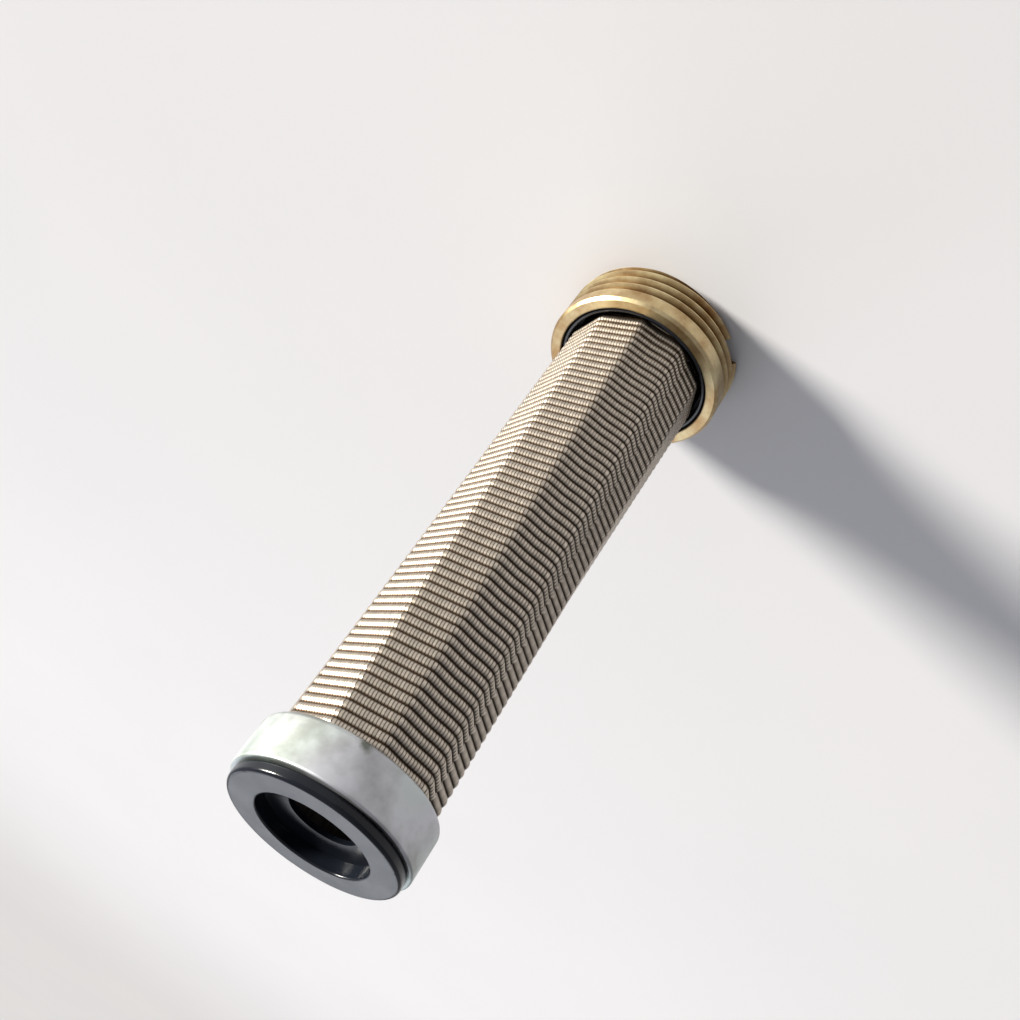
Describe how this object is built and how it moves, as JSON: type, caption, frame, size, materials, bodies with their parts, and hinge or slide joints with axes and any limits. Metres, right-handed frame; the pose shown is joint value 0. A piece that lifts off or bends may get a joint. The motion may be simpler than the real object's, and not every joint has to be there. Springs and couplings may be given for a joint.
{
  "type": "hydraulic return filter",
  "caption": "Screw-in return line strainer: ridged wire cloth sleeve on a rod cage, with a threaded brass ring at one end and a crimped cap with a rubber pipe seal at the other.",
  "frame": {"origin": "on the axis, at the outer face of the brass ring that the filter stands on", "axes": "+Z along the filter's axis, from the brass ring up to the pipe seal"},
  "size_m": [0.033, 0.033, 0.1132],
  "materials": {
    "brass": "turned",
    "black_nylon": "moulded",
    "wire_cloth": "woven wire",
    "zinc_steel": "drawn",
    "black_rubber": "moulded, glossy",
    "cage_steel": "drawn wire"
  },
  "bodies": {
    "root": {"brass_ring": "brass", "ring_collar": "black_nylon", "mesh_sleeve": "wire_cloth", "end_cap": "zinc_steel", "end_seal": "black_rubber", "support_rod_01": "cage_steel", "support_rod_02": "cage_steel", "support_rod_03": "cage_steel", "support_rod_04": "cage_steel", "support_rod_05": "cage_steel", "support_rod_06": "cage_steel", "support_rod_07": "cage_steel", "support_rod_08": "cage_steel", "support_rod_09": "cage_steel", "support_rod_10": "cage_steel", "support_hoop_1": "cage_steel", "support_hoop_2": "cage_steel", "support_hoop_3": "cage_steel", "support_hoop_4": "cage_steel", "support_hoop_5": "cage_steel"}
  },
  "joints": []
}
